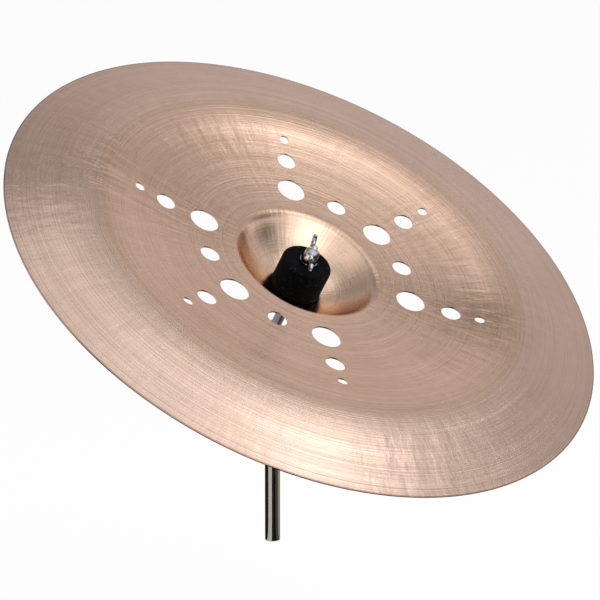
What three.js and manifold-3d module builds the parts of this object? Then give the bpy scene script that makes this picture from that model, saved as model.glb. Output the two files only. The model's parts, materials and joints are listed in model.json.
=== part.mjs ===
// China cymbal, hung with its bell down on the leaning rod of a cymbal stand's tilter.
// Lengths are in millimetres. +Z runs up the post, and the origin is the centre of the post's lower end.
// The rod leans towards -Y, turned about a clamp bolt that lies along X.

import * as THREE from 'three';
import { mergeVertices } from 'three/addons/utils/BufferGeometryUtils.js';
import Module from 'manifold-3d';

// Clearances and cutting
const seatGap = 0.3;
const cutOverrun = 2;
const weldDistance = 0.0001;
const edgeBreak = 0.6;

// Cymbal: one turned sheet with a bell, a rising bow, a soft crest and a falling flange
const cymbalRadius = 228.6;
const sheetThickness = 1.1;
const bellRadius = 54;
const bellDepth = 27;
const bellHoleRadius = 6.1;
const bellRimRounding = 2.6;
const crestRadius = 162;
const crestHeight = 16;
const crestRounding = 20;
const bowSweepHeight = 1.5;
const flangeSwell = 1.6;

// Cymbal: round holes, in six rows of three along radii and four single holes between the rows
const largeHoleRadius = 10.9;
const largeHoleRing = 80.7;
const mediumHoleRadius = 7.3;
const mediumHoleRing = 111.5;
const smallHoleRadius = 3.7;
const smallHoleRing = 132.7;
const singleHoleRadius = 7.4;
const singleHoleRing = 79.5;
const rowSpacing = THREE.MathUtils.degToRad(53);
const cymbalTurn = THREE.MathUtils.degToRad(12.9);

// Rod and the pieces stacked on it
const leanAngle = THREE.MathUtils.degToRad(36);
const rodRadius = 4;
const rodTipRadius = 2.5;
const rodTipLength = 4.4;
const rodShowsAboveNut = 5.2;
const bareThread = 19.3;
const seatNutWidth = 13;
const seatNutHeight = 6.5;
const cupThickness = 1.2;
const cupLipHeight = 4.4;
const feltRadius = 18.75;
const feltRounding = 2.2;
const lowerFeltThickness = 8;
const upperFeltThickness = 26.8;
const sleeveThickness = 1;
const sleeveFlangeRadius = 8.5;
const sleeveFlangeThickness = 1.2;
const sleeveAboveBell = 12;

// Washer and wing nut that hold the cymbal down
const nutWasherRadius = 6.6;
const nutWasherThickness = 1.6;
const wingNutFootRadius = 6.2;
const wingNutCrownRadius = 5.2;
const wingNutHeight = 8.2;
const wingNutSpan = 42;
const wingNutBlade = 3.6;
const wingNutTipRadius = 3.3;
const wingNutTipLift = 7;
const wingNutTurn = THREE.MathUtils.degToRad(51);

// Tilter: two cast jaws side by side with a friction disc between them
const jawRadius = 12;
const jawThickness = 8.2;
const jawClearance = 1;
const rodBossRadius = 6.8;
const rodBossTop = 26;
const rodPinRadius = 1.4;
const frictionDiscThickness = 0.8;
const frictionDiscMargin = 1;
const socketRadius = 9.2;
const socketDepth = 24;
const keyBoltRadius = 3;
const keyBoltHead = 6;
const keyBoltHeadHeight = 6.5;
const keyBoltBossRadius = 5.4;
const keyBoltBossReach = 3;

// Clamp bolt through both jaws, with its washers and wing nut
const clampBoltRadius = 3;
const clampBoltHeadWidth = 10;
const clampBoltHeadHeight = 4.2;
const clampBoltShowsPastNut = 4.5;
const clampWasherRadius = 8;
const clampWasherThickness = 1.6;
const springWasherRadius = 5.6;
const springWasherThickness = 1.6;
const springWasherSplit = 1.2;
const clampNutFootRadius = 6.4;
const clampNutCrownRadius = 5;
const clampNutHeight = 8;
const clampNutSpan = 34;
const clampNutBlade = 2.8;
const clampNutTipRadius = 3;
const clampNutTipLift = 6.2;
const clampNutTurn = THREE.MathUtils.degToRad(70);

// Post: plain round bar, cut square at its lower end
const postRadius = 5.7;
const postLength = 128.5;

// How finely round shapes are faceted
const cymbalSides = 60;
const feltSides = 32;
const smallSides = 24;
const boreSides = 16;

const bronze = { color: 0xc4a488, roughness: 0.34, metalness: 1 };
const chrome = { color: 0xc9ccd2, roughness: 0.14, metalness: 1 };
const castChrome = { color: 0xb9bcc2, roughness: 0.24, metalness: 1 };
const steel = { color: 0x9fa2a6, roughness: 0.38, metalness: 1 };
const blackFelt = { color: 0x0b0b0d, roughness: 1, metalness: 0 };
const nylon = { color: 0x1b1b1d, roughness: 0.5, metalness: 0 };
const brakeFibre = { color: 0x5c4636, roughness: 0.9, metalness: 0 };

const wasm = await Module();
wasm.setup();

// Geometry welded into one closed skin with its faces pointing out
function closedSkin(geometry) {
  const bare = geometry.index ? geometry : mergeVertices(geometry);
  bare.deleteAttribute('normal');
  bare.deleteAttribute('uv');
  const welded = mergeVertices(bare, weldDistance);
  const corners = welded.index.array;
  const place = welded.attributes.position;
  const a = new THREE.Vector3();
  const b = new THREE.Vector3();
  const c = new THREE.Vector3();
  const faces = [];
  let sixfoldVolume = 0;
  for (let i = 0; i < corners.length; i += 3) {
    const [p, q, r] = [corners[i], corners[i + 1], corners[i + 2]];
    if (p === q || q === r || r === p) continue;
    faces.push(p, q, r);
    a.fromBufferAttribute(place, p);
    b.fromBufferAttribute(place, q);
    c.fromBufferAttribute(place, r);
    sixfoldVolume += a.dot(b.cross(c));
  }
  welded.setIndex(sixfoldVolume < 0 ? faces.reverse() : faces);
  return welded;
}

function toSolid(geometry) {
  const skin = closedSkin(geometry);
  const vertProperties = new Float32Array(skin.attributes.position.array);
  const triVerts = new Uint32Array(skin.index.array);
  return new wasm.Manifold(new wasm.Mesh({ numProp: 3, vertProperties, triVerts }));
}

function toGeometry(solid) {
  const mesh = solid.getMesh();
  const geometry = new THREE.BufferGeometry();
  geometry.setAttribute('position', new THREE.BufferAttribute(new Float32Array(mesh.vertProperties), 3));
  geometry.setIndex([...mesh.triVerts]);
  return geometry;
}

// Revolves [radius, height] points about Z
function turned(points, sides) {
  const profile = points.map(([radius, height]) => new THREE.Vector2(radius, height));
  return new THREE.LatheGeometry(profile, sides).rotateX(Math.PI / 2);
}

// A ring or tube of square section about Z
function ring(innerRadius, outerRadius, foot, top, sides) {
  const section = [[innerRadius, foot], [outerRadius, foot], [outerRadius, top], [innerRadius, top]];
  return turned([...section, section[0]], sides);
}

// A round bar about Z with broken edges
function bar(radius, foot, top, edge, sides) {
  return turned([
    [0, foot], [radius - edge, foot], [radius, foot + edge],
    [radius, top - edge], [radius - edge, top], [0, top],
  ], sides);
}

// A plain drill for a bore about Z
function drill(radius, foot, top) {
  return turned([[0, foot], [radius, foot], [radius, top], [0, top]], boreSides);
}

// Turns a shape built about Z so that its axis lies along X or Y
function alongX(geometry) {
  return geometry.rotateY(Math.PI / 2);
}

function alongY(geometry) {
  return geometry.rotateX(-Math.PI / 2);
}

// A hexagonal nut or bolt head about Z, from its width across the flats
function hexagon(widthAcrossFlats, foot, top) {
  const corner = widthAcrossFlats / 2 / Math.cos(Math.PI / 6);
  return turned([[0, foot], [corner, foot], [corner, top], [0, top]], 6);
}

// A drawn outline made one plate of even thickness, with its coinciding points left out
function plate(outline, settings) {
  const points = outline.getPoints(settings.curveSegments);
  const distinct = points.filter((point, i) => point.distanceTo(points.at(i - 1)) > weldDistance);
  return new THREE.ExtrudeGeometry(new THREE.Shape(distinct), settings);
}

function named(name, geometry, look) {
  const mesh = new THREE.Mesh(closedSkin(geometry), new THREE.MeshStandardMaterial(look));
  mesh.name = name;
  return mesh;
}

// The bell is part of a sphere, so its inner face follows from its rim and its depth
const bellSphereRadius = (bellRadius ** 2 + bellDepth ** 2) / (2 * bellDepth);
const bellSphereHeight = bellSphereRadius - bellDepth;

// Height of a face that runs along the bell at a distance outside (+) or inside (-) its inner face
function bellFace(radius, distance) {
  return bellSphereHeight - Math.sqrt((bellSphereRadius + distance) ** 2 - radius ** 2);
}

function stretch(from, to, distance) {
  return from.clone().add(to.clone().sub(from).setLength(distance));
}

// Upper face of the sheet, from the bell hole to the edge
function cymbalFace() {
  const rim = new THREE.Vector2(bellRadius, 0);
  const bowControl = new THREE.Vector2((bellRadius + crestRadius) / 2, bowSweepHeight);
  const crest = new THREE.Vector2(crestRadius, crestHeight);
  const edge = new THREE.Vector2(cymbalRadius, 0);
  const flangeControl = crest.clone().lerp(edge, 0.5).add(new THREE.Vector2(0, flangeSwell));

  const holeAngle = Math.asin(bellHoleRadius / bellSphereRadius);
  const rimAngle = Math.asin(bellRadius / bellSphereRadius) - bellRimRounding / bellSphereRadius;
  const bellSteps = 7;
  const bell = Array.from({ length: bellSteps + 1 }, (_, i) => {
    const angle = THREE.MathUtils.lerp(holeAngle, rimAngle, i / bellSteps);
    const radius = bellSphereRadius * Math.sin(angle);
    return new THREE.Vector2(radius, bellFace(radius, 0));
  });
  const bowStart = stretch(rim, bowControl, bellRimRounding);
  const bowEnd = stretch(crest, bowControl, crestRounding);
  const flangeStart = stretch(crest, flangeControl, crestRounding);
  const rimCurve = new THREE.QuadraticBezierCurve(bell.at(-1), rim, bowStart);
  const bowCurve = new THREE.QuadraticBezierCurve(bowStart, bowControl, bowEnd);
  const crestCurve = new THREE.QuadraticBezierCurve(bowEnd, crest, flangeStart);
  const flangeCurve = new THREE.QuadraticBezierCurve(flangeStart, flangeControl, edge);
  return [
    ...bell,
    ...rimCurve.getPoints(2).slice(1),
    ...bowCurve.getPoints(5).slice(1),
    ...crestCurve.getPoints(5).slice(1),
    ...flangeCurve.getPoints(4).slice(1),
  ];
}

// The same line moved square to itself by the sheet's thickness, kept upright at both ends
function lowerFace(face) {
  return face.map((point, i) => {
    const before = face[Math.max(i - 1, 0)];
    const after = face[Math.min(i + 1, face.length - 1)];
    const along = after.clone().sub(before).normalize();
    const isEnd = i === 0 || i === face.length - 1;
    const sideways = isEnd ? 0 : along.y * sheetThickness;
    return new THREE.Vector2(point.x + sideways, point.y - along.x * sheetThickness);
  });
}

function rowAngles() {
  const spread = [-rowSpacing, 0, rowSpacing];
  return [0, Math.PI].flatMap((side) => spread.map((angle) => side + angle));
}

function singleAngles() {
  const spread = [-rowSpacing / 2, rowSpacing / 2];
  return [0, Math.PI].flatMap((side) => spread.map((angle) => side + angle));
}

function holeCutters() {
  const patterns = [
    [largeHoleRadius, largeHoleRing, rowAngles()],
    [mediumHoleRadius, mediumHoleRing, rowAngles()],
    [smallHoleRadius, smallHoleRing, rowAngles()],
    [singleHoleRadius, singleHoleRing, singleAngles()],
  ];
  const foot = -bellDepth;
  const top = crestHeight + cutOverrun;
  return patterns.flatMap(([radius, ringRadius, angles]) => angles.map((angle) => (
    drill(radius, foot, top).translate(ringRadius, 0, 0).rotateZ(angle)
  )));
}

function cymbal() {
  const upper = cymbalFace();
  const section = [...upper, ...lowerFace(upper).reverse(), upper[0]];
  const sheet = turned(section.map((point) => [point.x, point.y]), cymbalSides);
  const cutAway = (solid, cutter) => solid.subtract(toSolid(cutter));
  const drilled = holeCutters().reduce(cutAway, toSolid(sheet));
  return named('cymbal', toGeometry(drilled).rotateZ(cymbalTurn), bronze);
}

// Places along the rod, measured from the tilter's pivot
const sleeveRadius = rodRadius + seatGap + sleeveThickness;
const rodBossFoot = jawRadius + jawClearance;
const rodSocketFloor = rodBossFoot + rodBossRadius - jawThickness / 2;
const seatNutFoot = rodBossTop + bareThread;
const cupFoot = seatNutFoot + seatNutHeight + seatGap;
const sleeveFoot = cupFoot + cupThickness + seatGap;
const bellFoot = sleeveFoot + lowerFeltThickness + seatGap + sheetThickness;
const edgePlane = bellFoot + bellDepth;
const feltTop = bellFoot + seatGap + upperFeltThickness;
const nutWasherFoot = feltTop + seatGap;
const wingNutFoot = nutWasherFoot + nutWasherThickness + seatGap;
const rodTip = wingNutFoot + wingNutHeight + rodShowsAboveNut;

// Rod with a chamfer that leads down to a thinner domed tip
function rod() {
  const foot = rodSocketFloor + seatGap;
  const shoulder = rodTip - rodTipLength;
  const domeSteps = 4;
  const dome = Array.from({ length: domeSteps + 1 }, (_, i) => {
    const angle = i / domeSteps * Math.PI / 2;
    return [rodTipRadius * Math.cos(angle), rodTip - rodTipRadius + rodTipRadius * Math.sin(angle)];
  });
  dome[domeSteps][0] = 0;
  const chamfer = [[rodRadius, shoulder], [rodTipRadius, shoulder + rodRadius - rodTipRadius]];
  const end = [[0, foot], [rodRadius - edgeBreak, foot], [rodRadius, foot + edgeBreak]];
  const shaft = toSolid(turned([...end, ...chamfer, ...dome], smallSides));
  const pinReach = rodRadius + cutOverrun;
  const pinHole = alongX(drill(rodPinRadius + seatGap, -pinReach, pinReach)).translate(0, 0, rodPinHeight());
  return named('rod', toGeometry(shaft.subtract(toSolid(pinHole))), chrome);
}

function rodPinHeight() {
  return (rodSocketFloor + rodBossTop) / 2;
}

function seatNut() {
  const body = toSolid(hexagon(seatNutWidth, 0, seatNutHeight));
  const bore = toSolid(drill(rodRadius + seatGap, -cutOverrun, seatNutHeight + cutOverrun));
  const nut = named('seat_nut', toGeometry(body.subtract(bore)), steel);
  nut.position.z = seatNutFoot;
  return nut;
}

// Pressed steel cup that carries the lower felt
function cupWasher() {
  const bore = rodRadius + seatGap;
  const inside = feltRadius + seatGap;
  const outside = inside + cupThickness;
  const section = [
    [bore, 0], [outside - edgeBreak, 0], [outside, edgeBreak],
    [outside, cupLipHeight], [inside, cupLipHeight], [inside, cupThickness], [bore, cupThickness],
  ];
  const cup = named('cup_washer', turned([...section, section[0]], feltSides), steel);
  cup.position.z = cupFoot;
  return cup;
}

// Tube that keeps the thread off the bell hole, with a flange under the lower felt
function sleeve() {
  const bore = rodRadius + seatGap;
  const top = bellFoot + sleeveAboveBell - sleeveFoot;
  const section = [
    [bore, 0], [sleeveFlangeRadius, 0], [sleeveFlangeRadius, sleeveFlangeThickness],
    [sleeveRadius, sleeveFlangeThickness], [sleeveRadius, top], [bore, top],
  ];
  const tube = named('sleeve', turned([...section, section[0]], smallSides), nylon);
  tube.position.z = sleeveFoot;
  return tube;
}

// Points along the bell between two radii, at a distance from its inner face
function bellLine(fromRadius, toRadius, distance) {
  const steps = 3;
  return Array.from({ length: steps + 1 }, (_, i) => {
    const radius = THREE.MathUtils.lerp(fromRadius, toRadius, i / steps);
    return [radius, edgePlane + bellFace(radius, distance)];
  });
}

// Felt disc pressed up against the outside of the bell
function lowerFelt() {
  const bore = sleeveRadius + seatGap;
  const recess = sleeveFlangeRadius + seatGap;
  const recessTop = sleeveFoot + sleeveFlangeThickness + seatGap;
  const section = [
    [bore, recessTop], [recess, recessTop], [recess, sleeveFoot], [feltRadius, sleeveFoot],
    ...bellLine(feltRadius, bore, sheetThickness + seatGap),
  ];
  return named('lower_felt', turned([...section, section[0]], feltSides), blackFelt);
}

// Thick felt disc that stands in the bell, its top level with the bell's rim
function upperFelt() {
  const bore = sleeveRadius + seatGap;
  const section = [
    ...bellLine(bore, feltRadius, -seatGap),
    [feltRadius, feltTop - feltRounding], [feltRadius - feltRounding, feltTop], [bore, feltTop],
  ];
  return named('upper_felt', turned([...section, section[0]], feltSides), blackFelt);
}

function nutWasher() {
  const washer = ring(rodRadius + seatGap, nutWasherRadius, 0, nutWasherThickness, smallSides);
  const mesh = named('nut_washer', washer, chrome);
  mesh.position.z = nutWasherFoot;
  return mesh;
}

// One wing of a wing nut: a flat blade with a round tip, standing out from the hub along X
function blade(size) {
  const root = size.bore / 2;
  const tip = size.span / 2 - size.tipRadius;
  const middle = (size.foot + tip) / 2;
  const tipFoot = size.tipLift - size.tipRadius;
  const outline = new THREE.Shape();
  outline.moveTo(root, edgeBreak);
  outline.lineTo(size.foot, edgeBreak * 2);
  outline.quadraticCurveTo(middle, tipFoot, tip, tipFoot);
  outline.absarc(tip, size.tipLift, size.tipRadius, -Math.PI / 2, Math.PI / 2, false);
  outline.quadraticCurveTo(middle, size.tipLift, size.crown, size.height - edgeBreak);
  outline.lineTo(root, size.height - edgeBreak);
  const thickness = size.blade - 2 * edgeBreak;
  const settings = {
    depth: thickness, bevelEnabled: true, bevelThickness: edgeBreak, bevelSize: edgeBreak,
    bevelOffset: -edgeBreak, bevelSegments: 1, curveSegments: 6,
  };
  return plate(outline, settings).rotateX(Math.PI / 2).translate(0, thickness / 2, 0);
}

// Forged wing nut about Z: a conical hub with two blades
function wingNut(name, size) {
  const hub = toSolid(turned([
    [0, 0], [size.foot, 0], [size.foot, edgeBreak], [size.crown, size.height - edgeBreak],
    [size.crown - edgeBreak, size.height], [0, size.height],
  ], smallSides));
  const wings = [0, Math.PI].map((turn) => toSolid(blade(size).rotateZ(turn)));
  const bore = toSolid(drill(size.bore, -cutOverrun, size.height + cutOverrun));
  return named(name, toGeometry(hub.add(wings[0]).add(wings[1]).subtract(bore)), chrome);
}

function cymbalWingNut() {
  const nut = wingNut('wing_nut', {
    bore: rodRadius + seatGap, foot: wingNutFootRadius, crown: wingNutCrownRadius,
    height: wingNutHeight, span: wingNutSpan, blade: wingNutBlade,
    tipRadius: wingNutTipRadius, tipLift: wingNutTipLift,
  });
  nut.position.z = wingNutFoot;
  nut.rotation.z = wingNutTurn;
  return nut;
}

// Flat jaw plate across X: a round cheek with a neck that blends up into its boss
function jawPlate(neckWidth, neckTop) {
  const blendAngle = Math.PI / 9;
  const neck = neckWidth / 2;
  const outline = new THREE.Shape();
  outline.moveTo(neck, neckTop);
  outline.lineTo(-neck, neckTop);
  outline.lineTo(-neck, jawRadius);
  const cheekSide = -jawRadius * Math.cos(blendAngle);
  outline.quadraticCurveTo(-neck, jawRadius / 2, cheekSide, jawRadius * Math.sin(blendAngle));
  outline.absarc(0, 0, jawRadius, Math.PI - blendAngle, 2 * Math.PI + blendAngle, false);
  outline.quadraticCurveTo(neck, jawRadius / 2, neck, jawRadius);
  const cheek = plate(outline, { depth: jawThickness, bevelEnabled: false, curveSegments: 24 });
  const turn = new THREE.Matrix4().makeBasis(
    new THREE.Vector3(0, 1, 0), new THREE.Vector3(0, 0, 1), new THREE.Vector3(1, 0, 0),
  );
  return cheek.applyMatrix4(turn).translate(-jawThickness / 2, 0, 0);
}

function pivotBore() {
  const reach = jawThickness / 2 + cutOverrun;
  return toSolid(alongX(drill(clampBoltRadius + seatGap, -reach, reach)));
}

// Upper jaw: plate and boss that hold the rod
function rodJaw() {
  const flare = rodBossRadius - jawThickness / 2;
  const boss = turned([
    [0, rodBossFoot], [jawThickness / 2, rodBossFoot], [rodBossRadius, rodBossFoot + flare],
    [rodBossRadius, rodBossTop - edgeBreak], [rodBossRadius - edgeBreak, rodBossTop], [0, rodBossTop],
  ], smallSides);
  const rodBore = drill(rodRadius + seatGap, rodSocketFloor, rodBossTop + cutOverrun);
  const pinReach = rodBossRadius + cutOverrun;
  const pinBore = alongX(drill(rodPinRadius + seatGap, -pinReach, pinReach)).translate(0, 0, rodPinHeight());
  const body = toSolid(jawPlate(2 * rodBossRadius - edgeBreak, rodSocketFloor)).add(toSolid(boss));
  const drilled = body.subtract(toSolid(rodBore)).subtract(toSolid(pinBore)).subtract(pivotBore());
  return named('rod_jaw', toGeometry(drilled), castChrome);
}

function rodPin() {
  const pin = alongX(bar(rodPinRadius, -rodBossRadius, rodBossRadius, edgeBreak / 2, boreSides));
  const mesh = named('rod_pin', pin, steel);
  mesh.position.z = rodPinHeight();
  return mesh;
}

// Places down the post, measured down from the pivot
const socketTop = jawRadius + jawClearance;
const socketFloor = socketTop + socketRadius - jawThickness / 2;
const socketMouth = socketFloor + socketDepth;
const keyBoltDrop = (socketFloor + socketMouth) / 2;
const pivotHeight = postLength + socketFloor + seatGap;

// Lower jaw: plate and socket that fit over the post, with a boss for the key bolt
function postJaw() {
  const flare = socketRadius - jawThickness / 2;
  const bore = postRadius + seatGap;
  const socket = turned([
    [0, -socketTop], [jawThickness / 2, -socketTop], [socketRadius, -socketTop - flare],
    [socketRadius, edgeBreak - socketMouth], [socketRadius - edgeBreak, -socketMouth], [0, -socketMouth],
  ], feltSides);
  const bossEnd = socketRadius + keyBoltBossReach;
  const boss = alongY(bar(keyBoltBossRadius, 0, bossEnd, edgeBreak, smallSides)).translate(0, 0, -keyBoltDrop);
  const cheek = jawPlate(2 * rodBossRadius, socketFloor).rotateX(Math.PI);
  const postBore = drill(bore, -socketMouth - cutOverrun, -socketFloor);
  const keyBore = alongY(drill(keyBoltRadius + seatGap, 0, bossEnd + cutOverrun)).translate(0, 0, -keyBoltDrop);
  const body = toSolid(cheek).add(toSolid(socket)).add(toSolid(boss));
  const drilled = body.subtract(toSolid(postBore)).subtract(toSolid(keyBore)).subtract(pivotBore());
  return named('post_jaw', toGeometry(drilled), castChrome);
}

// Bolt with a square head that is turned with a drum key and grips the post
function keyBolt() {
  const bossEnd = socketRadius + keyBoltBossReach;
  const headFoot = bossEnd + seatGap;
  const shaft = toSolid(bar(keyBoltRadius, postRadius + seatGap, headFoot + cutOverrun, edgeBreak, boreSides));
  const collar = toSolid(bar(keyBoltBossRadius - edgeBreak, headFoot, headFoot + cutOverrun, edgeBreak, smallSides));
  const head = new THREE.BoxGeometry(keyBoltHead, keyBoltHead, keyBoltHeadHeight);
  const headTop = toSolid(head.translate(0, 0, headFoot + cutOverrun - edgeBreak + keyBoltHeadHeight / 2));
  const mesh = named('key_bolt', alongY(toGeometry(shaft.add(collar).add(headTop))), chrome);
  mesh.position.z = -keyBoltDrop;
  return mesh;
}

// Places along the clamp bolt, measured from the post's axis towards -X
const discFoot = jawThickness / 2 + seatGap;
const jawOffset = discFoot + frictionDiscThickness + seatGap + jawThickness / 2;
const clampWasherFoot = jawOffset + jawThickness / 2 + seatGap;
const springWasherFoot = clampWasherFoot + clampWasherThickness + seatGap;
const clampNutFoot = springWasherFoot + springWasherThickness + seatGap;
const clampBoltEnd = clampNutFoot + clampNutHeight + clampBoltShowsPastNut;

function frictionDisc() {
  const inner = clampBoltRadius + seatGap;
  const outer = jawRadius - frictionDiscMargin;
  const top = discFoot + frictionDiscThickness;
  return named('friction_disc', ring(inner, outer, discFoot, top, feltSides), brakeFibre);
}

function clampBolt() {
  const headTop = -jawThickness / 2 - seatGap;
  const head = toSolid(hexagon(clampBoltHeadWidth, headTop - clampBoltHeadHeight, headTop));
  const shaft = toSolid(bar(clampBoltRadius, headTop - clampBoltHeadHeight / 2, clampBoltEnd, edgeBreak, boreSides));
  return named('clamp_bolt', toGeometry(head.add(shaft)), chrome);
}

function clampWasher() {
  const inner = clampBoltRadius + seatGap;
  const top = clampWasherFoot + clampWasherThickness;
  return named('clamp_washer', ring(inner, clampWasherRadius, clampWasherFoot, top, smallSides), chrome);
}

// Split ring that keeps the clamp nut from working loose
function springWasher() {
  const inner = clampBoltRadius + seatGap;
  const split = springWasherSplit / 2;
  const outline = new THREE.Shape();
  const outerAngle = Math.asin(split / springWasherRadius);
  const innerAngle = Math.asin(split / inner);
  outline.absarc(0, 0, springWasherRadius, outerAngle, 2 * Math.PI - outerAngle, false);
  outline.absarc(0, 0, inner, 2 * Math.PI - innerAngle, innerAngle, true);
  const washer = plate(outline, { depth: springWasherThickness, bevelEnabled: false, curveSegments: 20 });
  return named('spring_washer', washer.translate(0, 0, springWasherFoot), steel);
}

function clampWingNut() {
  const nut = wingNut('clamp_wing_nut', {
    bore: clampBoltRadius + seatGap, foot: clampNutFootRadius, crown: clampNutCrownRadius,
    height: clampNutHeight, span: clampNutSpan, blade: clampNutBlade,
    tipRadius: clampNutTipRadius, tipLift: clampNutTipLift,
  });
  nut.position.z = clampNutFoot;
  nut.rotation.z = clampNutTurn;
  return nut;
}

function post() {
  return named('post', bar(postRadius, 0, postLength, edgeBreak, feltSides), chrome);
}

// The clamp's pieces, built about Z and laid along -X at the pivot
function clampGroup() {
  const group = new THREE.Group();
  group.add(frictionDisc(), clampBolt(), clampWasher(), springWasher(), clampWingNut());
  group.position.z = pivotHeight;
  group.rotation.y = -Math.PI / 2;
  return group;
}

function postGroup() {
  const group = new THREE.Group();
  group.add(postJaw(), keyBolt());
  group.position.z = pivotHeight;
  return group;
}

// Everything that leans with the rod, measured from the pivot with the rod along Z
function rodGroup() {
  const group = new THREE.Group();
  const sheet = cymbal();
  sheet.position.z = edgePlane;
  group.add(rodJaw(), rodPin(), rod(), seatNut(), cupWasher(), sleeve(), lowerFelt(), sheet, upperFelt());
  group.add(nutWasher(), cymbalWingNut());
  group.position.set(-jawOffset, 0, pivotHeight);
  group.rotation.x = leanAngle;
  return group;
}

const chinaCymbal = new THREE.Group();
chinaCymbal.add(post(), postGroup(), clampGroup(), rodGroup());

export default chinaCymbal;
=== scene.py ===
# Looks of the china cymbal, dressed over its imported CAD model. Lengths are in metres.
# The sections follow the stand from its post up to the wing nut that holds the cymbal.

import json
from math import cos, pi, radians, sin

import bmesh
import bpy
import numpy as np
from mathutils import Matrix, Vector


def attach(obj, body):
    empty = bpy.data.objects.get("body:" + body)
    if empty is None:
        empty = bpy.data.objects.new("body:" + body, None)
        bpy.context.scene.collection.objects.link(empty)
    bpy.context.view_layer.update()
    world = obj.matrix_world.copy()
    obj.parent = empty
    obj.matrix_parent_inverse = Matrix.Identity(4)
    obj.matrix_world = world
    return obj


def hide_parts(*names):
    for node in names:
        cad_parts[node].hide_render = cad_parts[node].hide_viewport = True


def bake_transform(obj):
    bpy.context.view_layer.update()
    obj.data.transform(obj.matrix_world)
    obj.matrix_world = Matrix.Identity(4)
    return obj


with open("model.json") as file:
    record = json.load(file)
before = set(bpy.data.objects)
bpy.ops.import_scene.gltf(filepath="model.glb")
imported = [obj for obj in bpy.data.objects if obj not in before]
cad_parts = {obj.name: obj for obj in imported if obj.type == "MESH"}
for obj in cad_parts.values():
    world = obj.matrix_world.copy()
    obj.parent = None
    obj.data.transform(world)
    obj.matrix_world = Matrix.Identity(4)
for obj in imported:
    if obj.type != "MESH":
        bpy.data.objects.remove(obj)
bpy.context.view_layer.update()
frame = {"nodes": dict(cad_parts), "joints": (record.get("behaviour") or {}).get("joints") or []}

joints = {joint["name"]: joint for joint in frame["joints"]}


# Post: a chromed round bar with broken edges. It is drawn steel cut square at its lower end, and the
# tilter's socket grips its upper end.
post_radius = 0.0057
post_length = 0.1285
post_edge = 0.0006


def rounded(corners, steps=4):
    """A profile of (radius, height) corners with a third value, the length cut from each corner. The cut
    corner is a parabola between its two cut points, with the corner itself as its control point."""
    line = []
    for i, (radius, height, cut) in enumerate(corners):
        here = np.array([radius, height])
        if cut == 0:
            line.append(here)
            continue
        before = np.array(corners[i - 1][:2]) - here
        after = np.array(corners[(i + 1) % len(corners)][:2]) - here
        start = here + before * min(cut / np.linalg.norm(before), 0.5)
        end = here + after * min(cut / np.linalg.norm(after), 0.5)
        t = np.linspace(0, 1, steps + 1)[:, None]
        line.extend((1 - t) ** 2 * start + 2 * t * (1 - t) * here + t**2 * end)
    return np.array(line)


def around(radius, turn, height):
    """Points at a radius, an angle and a height about Z: x = r cos(angle), y = r sin(angle), z = h."""
    return np.stack([radius * np.cos(turn), radius * np.sin(turn), height + 0 * turn], -1)


def revolved(profile, sides):
    """Each (radius, height) point of the profile becomes a circle about Z."""
    return around(profile[:, :1], np.linspace(0, 2 * pi, sides, endpoint=False), profile[:, 1:])


def placed(name, data):
    """An object of that name in the scene."""
    piece = bpy.data.objects.new(name, data)
    bpy.context.collection.objects.link(piece)
    return piece


def skin(name, *grids, loop=False, sharp=32):
    """One closed mesh from grids of points (row, column, xyz). Columns join up round the piece, and rows too
    where loop is set. Coinciding points are merged, so a pole is one point, and faces point outwards."""
    points, faces, count = [], [], 0
    for grid in grids:
        rows, columns = grid.shape[:2]
        index = count + np.arange(rows * columns).reshape(rows, columns)
        index = np.concatenate([index, index[:, :1]], 1)
        if loop:
            index = np.concatenate([index, index[:1]], 0)
        corners = [index[:-1, :-1], index[:-1, 1:], index[1:, 1:], index[1:, :-1]]
        faces.append(np.stack(corners, -1).reshape(-1, 4))
        points.append(grid.reshape(-1, 3))
        count += rows * columns
    mesh = bpy.data.meshes.new(name)
    mesh.from_pydata(np.concatenate(points), [], np.concatenate(faces))
    merged = bmesh.new()
    merged.from_mesh(mesh)
    bmesh.ops.remove_doubles(merged, verts=merged.verts, dist=1e-7)
    bmesh.ops.recalc_face_normals(merged, faces=merged.faces)
    merged.to_mesh(mesh)
    merged.free()
    mesh.shade_smooth()
    mesh.set_sharp_from_angle(angle=radians(sharp))
    return placed(name, mesh)


class Wire:
    """A socket that takes part in arithmetic: an expression on wires adds its Math nodes."""

    def __init__(self, finish, socket):
        self.finish = finish
        self.socket = socket

    def math(self, operation, *values):
        return self.finish.node("Math", {"operation": operation}, *values)

    def __add__(self, other):
        return self.math("ADD", self, other)

    def __sub__(self, other):
        return self.math("SUBTRACT", self, other)

    def __rsub__(self, other):
        return self.math("SUBTRACT", other, self)

    def __mul__(self, other):
        return self.math("MULTIPLY", self, other)

    def __pow__(self, other):
        return self.math("POWER", self, other)

    __radd__ = __add__
    __rmul__ = __mul__


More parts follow.
